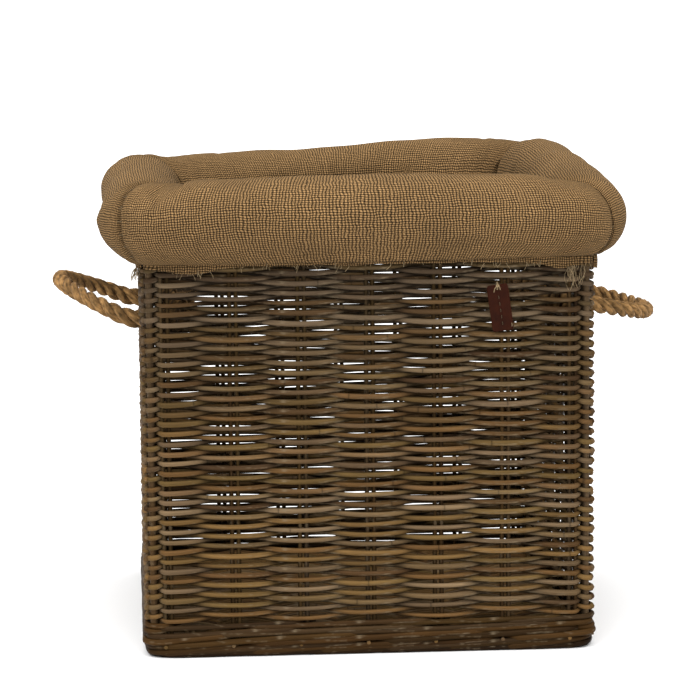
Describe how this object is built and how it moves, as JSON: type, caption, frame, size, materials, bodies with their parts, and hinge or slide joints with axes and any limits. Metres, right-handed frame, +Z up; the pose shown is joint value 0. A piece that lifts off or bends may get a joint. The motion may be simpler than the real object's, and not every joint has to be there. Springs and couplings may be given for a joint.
{
  "type": "wicker log basket",
  "caption": "Square woven rattan basket for firewood, with a hessian-covered padded rim, rope loop handles and a leather tag on twine.",
  "frame": {"origin": "on the floor under the middle of the basket", "axes": "+Z up, +X towards the right-hand rope handle, -Y towards the front where the leather tag hangs"},
  "size_m": [0.63, 0.5258, 0.4729],
  "materials": {
    "rattan_weaver": "dry grey-brown kubu rattan rod, slightly glossy bark with dull patches",
    "rattan_stake": "darker dry rattan rod",
    "rattan_foot": "dark dry rattan, worn where it meets the floor",
    "foam": "soft cream upholstery foam, hidden by its cover",
    "hessian": "coarse open plain-weave jute hessian with slubs",
    "jute_thread": "dull two-ply jute sewing twine",
    "rope": "three-strand manila rope, hairy, dull golden brown",
    "leather": "dark red-brown smooth leather with raw edges"
  },
  "bodies": {
    "basket": {"front_weavers": "rattan_weaver", "right_weavers": "rattan_weaver", "back_weavers": "rattan_weaver", "left_weavers": "rattan_weaver", "front_stakes": "rattan_stake", "right_stakes": "rattan_stake", "back_stakes": "rattan_stake", "left_stakes": "rattan_stake", "corner_posts": "rattan_stake", "foot_border": "rattan_foot", "foot_wale": "rattan_foot", "top_border": "rattan_foot", "base_frame": "rattan_stake", "base_sticks": "rattan_stake", "base_weavers": "rattan_weaver", "front_foam": "foam", "right_foam": "foam", "back_foam": "foam", "left_foam": "foam", "front_cover": "hessian", "right_cover": "hessian", "back_cover": "hessian", "left_cover": "hessian", "corner_seams": "jute_thread", "hem_stitches": "jute_thread", "left_rope_tails": "rope", "right_rope_tails": "rope"},
    "left_handle": {"left_rope_loop": "rope"},
    "right_handle": {"right_rope_loop": "rope"},
    "tag_tie": {"tag_twine": "jute_thread"},
    "tag": {"leather_tag": "leather"}
  },
  "joints": [
    {"name": "left_handle_swing", "type": "hinge", "parent": "basket", "child": "left_handle", "pos_m": [-0.234, 0, 0.328], "axis": [0, 1, 0], "range_deg": [-77, 35]},
    {"name": "right_handle_swing", "type": "hinge", "parent": "basket", "child": "right_handle", "pos_m": [0.234, 0, 0.328], "axis": [0, -1, 0], "range_deg": [-49, 63]},
    {"name": "tag_lift", "type": "hinge", "parent": "basket", "child": "tag_tie", "pos_m": [0.125, -0.2294, 0.366], "axis": [-1, 0, 0], "range_deg": [0, 60]},
    {"name": "tag_sway", "type": "hinge", "parent": "tag_tie", "child": "tag", "pos_m": [0.125, -0.2294, 0.366], "axis": [0, 1, 0], "range_deg": [-7, 23]}
  ]
}
